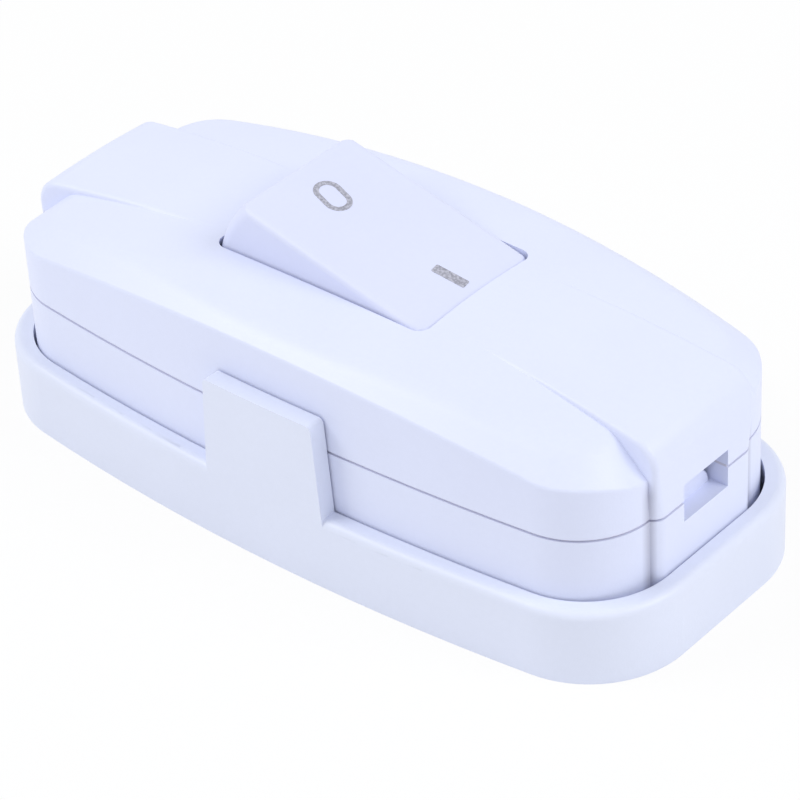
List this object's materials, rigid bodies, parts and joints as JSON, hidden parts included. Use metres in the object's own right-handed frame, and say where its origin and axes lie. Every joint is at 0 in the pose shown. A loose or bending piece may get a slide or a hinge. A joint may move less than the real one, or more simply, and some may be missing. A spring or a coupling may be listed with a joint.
{
  "type": "inline cord switch",
  "caption": "White inline rocker switch for a mains cord, arched housing with stepped cord ends, clipped in a shallow wall bracket with two side tabs.",
  "frame": {"origin": "centre of the flat underside of the wall bracket", "axes": "+X along the cord towards the end marked I, +Y across the switch, +Z out of the wall or up from the table"},
  "size_m": [0.0862, 0.0402, 0.0322],
  "materials": {
    "white_plastic": "fine satin moulding",
    "white_gloss": "smooth moulding",
    "brass": "stamped strip",
    "silver_alloy": "satin contact rivet",
    "zinc_steel": "zinc plated",
    "spring_steel": "drawn wire"
  },
  "bodies": {
    "base": {"wall_bracket": "white_plastic", "bottom_cover": "white_plastic", "top_cover": "white_plastic", "terminal_screws": "zinc_steel", "clamp_screws": "zinc_steel", "cover_screws": "zinc_steel", "cord_clamp_left": "white_plastic", "cord_clamp_right": "white_plastic", "fixed_terminal_front": "brass", "fulcrum_terminal_front": "brass", "fixed_contact_front": "silver_alloy", "fixed_terminal_rear": "brass", "fulcrum_terminal_rear": "brass", "fixed_contact_rear": "silver_alloy"},
    "rocker": {"rocker": "white_gloss", "plunger_front": "white_gloss", "plunger_spring_front": "spring_steel", "plunger_rear": "white_gloss", "plunger_spring_rear": "spring_steel"},
    "blade_front": {"contact_blade_front": "brass", "moving_contact_front": "silver_alloy"},
    "blade_rear": {"contact_blade_rear": "brass", "moving_contact_rear": "silver_alloy"}
  },
  "joints": [
    {"name": "rocker_pivot", "type": "hinge", "parent": "base", "child": "rocker", "pos_m": [-0.0006, 0, 0.022], "axis": [0, 1, 0], "range_deg": [-28.4, 0]},
    {"name": "blade_front_pivot", "type": "hinge", "parent": "base", "child": "blade_front", "pos_m": [-0.0006, -0.0045, 0.014], "axis": [0, 1, 0], "range_deg": [0, 16]},
    {"name": "blade_rear_pivot", "type": "hinge", "parent": "base", "child": "blade_rear", "pos_m": [-0.0006, 0.0045, 0.014], "axis": [0, 1, 0], "range_deg": [0, 16]}
  ],
  "couplings": [
    {"joint": "blade_front_pivot", "follows": "rocker_pivot", "ratio": -0.56338},
    {"joint": "blade_rear_pivot", "follows": "rocker_pivot", "ratio": -0.56338}
  ]
}
